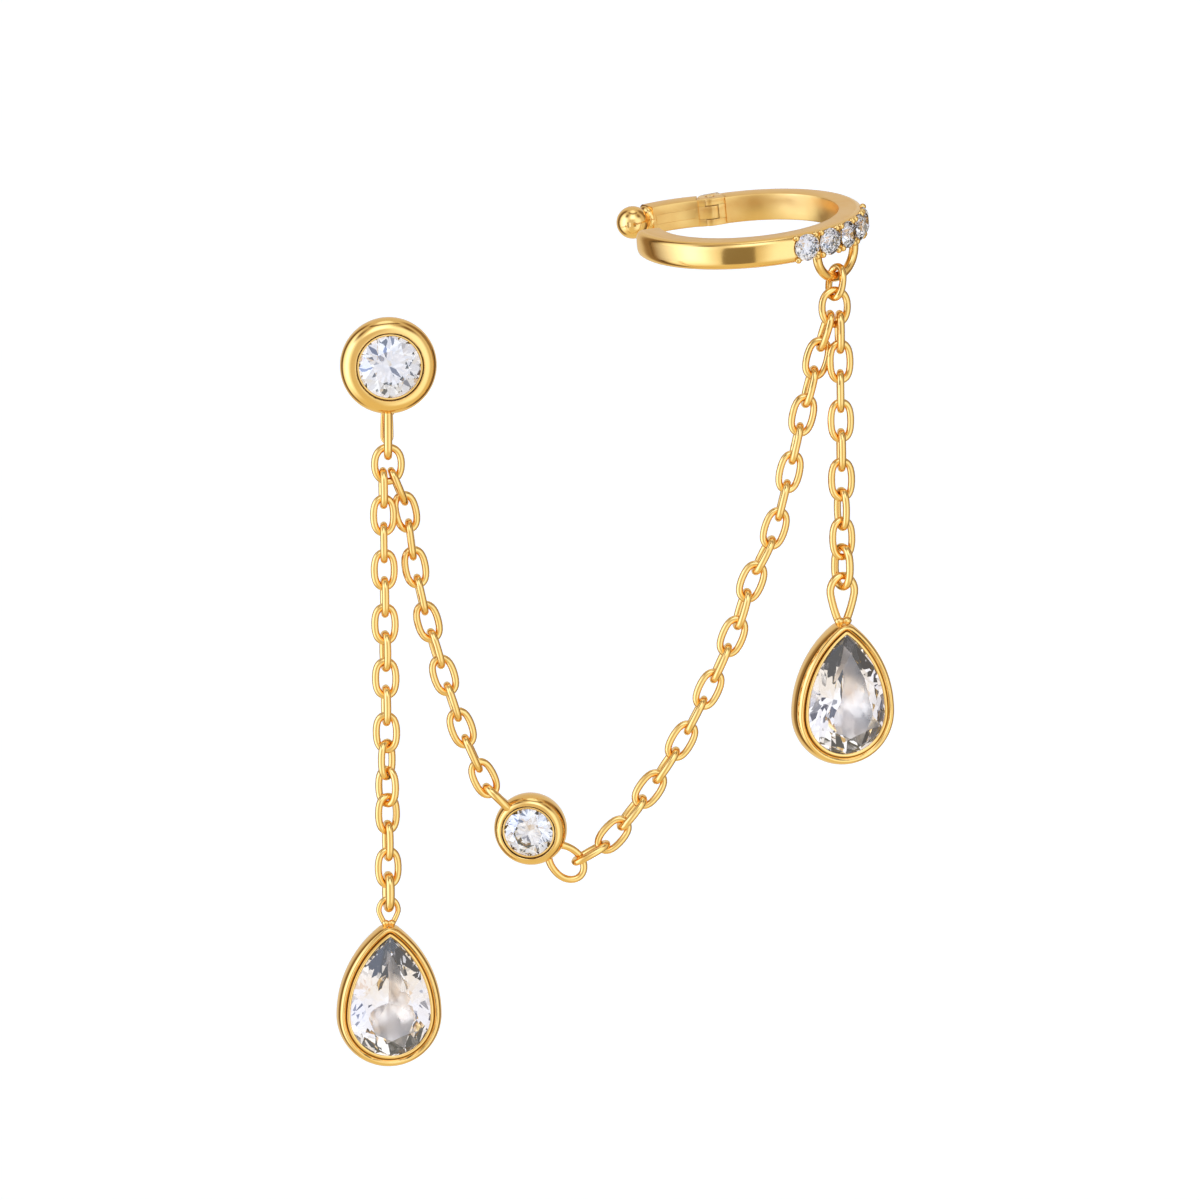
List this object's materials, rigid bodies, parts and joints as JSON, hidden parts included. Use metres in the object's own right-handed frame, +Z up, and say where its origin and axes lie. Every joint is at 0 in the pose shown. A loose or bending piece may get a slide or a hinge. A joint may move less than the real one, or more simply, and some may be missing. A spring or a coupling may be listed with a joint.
{
  "type": "ear chain earring",
  "caption": "Gold earring: a round stone stud in the lobe and a hinged stone cuff for the upper ear, joined by a hanging link chain with a round station and two pear drops.",
  "frame": {"origin": "centre of the stud bezel's back face, where the post starts and the front of the ear lobe lies", "axes": "+Z up with the earring hanging as worn, +Y back along the ear post, -Y the side that is seen, +X towards the cuff"},
  "size_m": [0.0283, 0.0127, 0.0429],
  "materials": {
    "gold": "polished warm yellow gold plating",
    "stone": "clear faceted stone"
  },
  "bodies": {
    "root": {"stud_setting": "gold", "stud_stone": "stone", "lobe_drop_chain": "gold", "stud_side_chain": "gold", "station_setting": "gold", "station_stone": "stone", "cuff_side_chain": "gold", "cuff_drop_chain": "gold", "cuff_band": "gold", "cuff_hinge_pin": "gold", "cuff_stone_1": "stone", "cuff_stone_2": "stone", "cuff_stone_3": "stone", "cuff_stone_4": "stone", "cuff_stone_5": "stone"},
    "cuff_arm": {"cuff_arm": "gold", "cuff_spring_leaf": "gold"},
    "lobe_drop": {"lobe_drop_setting": "gold", "lobe_drop_stone": "stone"},
    "cuff_drop": {"cuff_drop_setting": "gold", "cuff_drop_stone": "stone"}
  },
  "joints": [
    {"name": "cuff_arm_hinge", "type": "hinge", "parent": "root", "child": "cuff_arm", "pos_m": [0.01759, 0.00818, 0.00629], "axis": [-0.1004, -0.0914, 0.9907], "range_deg": [-30, 27]},
    {"name": "lobe_drop_swing", "type": "hinge", "parent": "root", "child": "lobe_drop", "pos_m": [-0.00003, -0.0009, -0.02746], "axis": [-0.0523, 0.9986, 0], "range_deg": [-60, 60]},
    {"name": "cuff_drop_swing", "type": "hinge", "parent": "root", "child": "cuff_drop", "pos_m": [0.02293, -0.0009, -0.01167], "axis": [-0.4695, 0.8829, 0], "range_deg": [-60, 25]}
  ]
}
